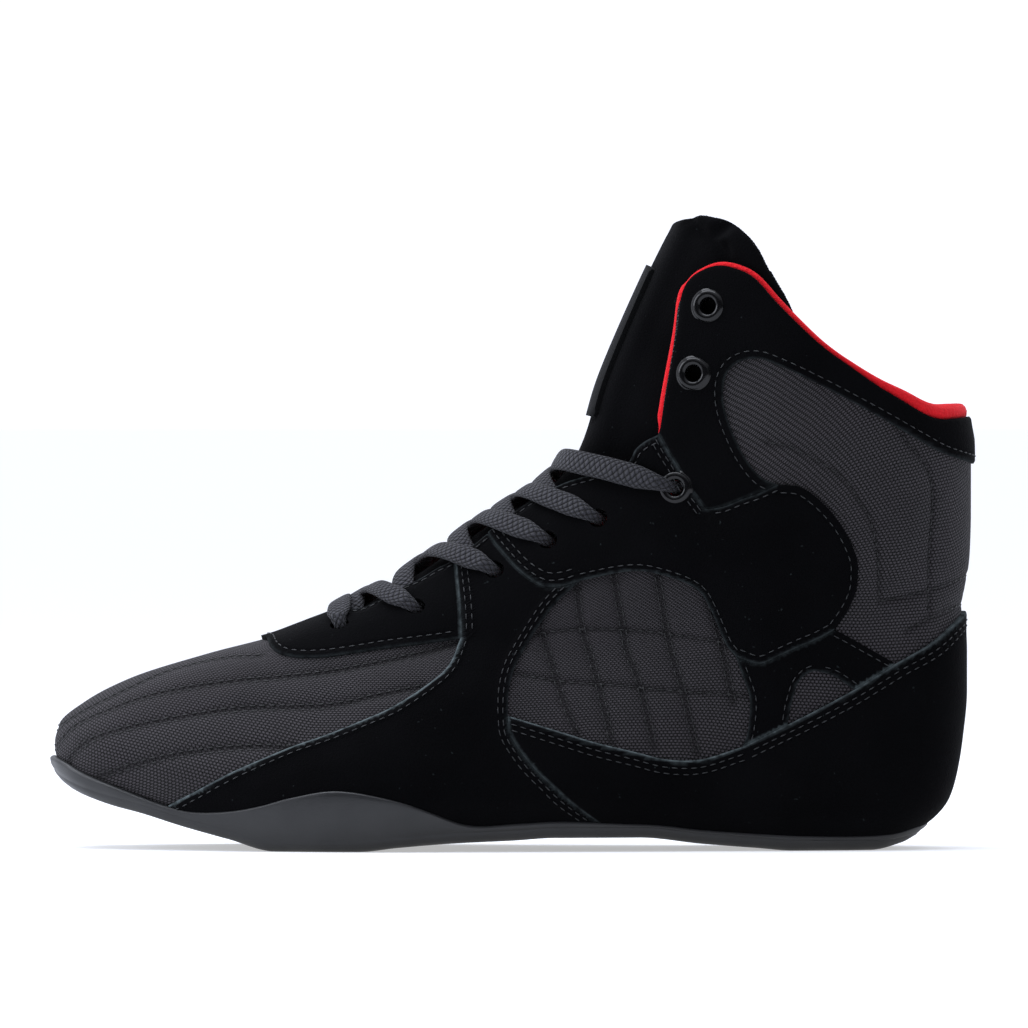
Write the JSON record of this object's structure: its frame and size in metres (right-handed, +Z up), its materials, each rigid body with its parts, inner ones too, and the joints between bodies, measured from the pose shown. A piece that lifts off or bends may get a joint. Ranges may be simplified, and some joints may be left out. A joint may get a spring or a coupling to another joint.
{
  "type": "wrestling shoe",
  "caption": "High lace-up wrestling shoe, left, with a canvas upper, suede overlays, a padded tongue and a thin rubber cup sole that rises in a wave at the ball.",
  "frame": {"origin": "the middle of the flat spot under the heel, on the floor", "axes": "-X towards the toe, -Y towards the outer (little toe) side, +Z up"},
  "size_m": [0.2932, 0.1002, 0.2],
  "materials": {
    "canvas": "matte plain-weave canvas, charcoal",
    "suede": "black suede, fine nap",
    "rubber": "satin dark grey moulded rubber",
    "insole_foam": "red knit over foam",
    "enamel": "gloss black enamel",
    "lace": "coarse flat braid, dark grey"
  },
  "bodies": {
    "root": {"outsole": "rubber", "insole": "insole_foam", "upper": "canvas", "tongue": "suede", "tongue_plate": "rubber", "toe_eyestay": "suede", "side_overlay_outer": "suede", "side_overlay_inner": "suede", "saddle_outer": "suede", "saddle_inner": "suede", "ankle_stay_outer": "suede", "ankle_stay_inner": "suede", "heel_counter": "suede", "collar_cuff": "suede", "eyelet_6_outer": "enamel", "eyelet_6_inner": "enamel", "eyelet_7_outer": "enamel", "eyelet_7_inner": "enamel", "eyelet_8_outer": "enamel", "eyelet_8_inner": "enamel", "lace_bar": "lace", "lace_cross_1": "lace", "lace_cross_2": "lace", "lace_cross_3": "lace", "lace_cross_4": "lace", "lace_cross_5": "lace"}
  },
  "joints": []
}
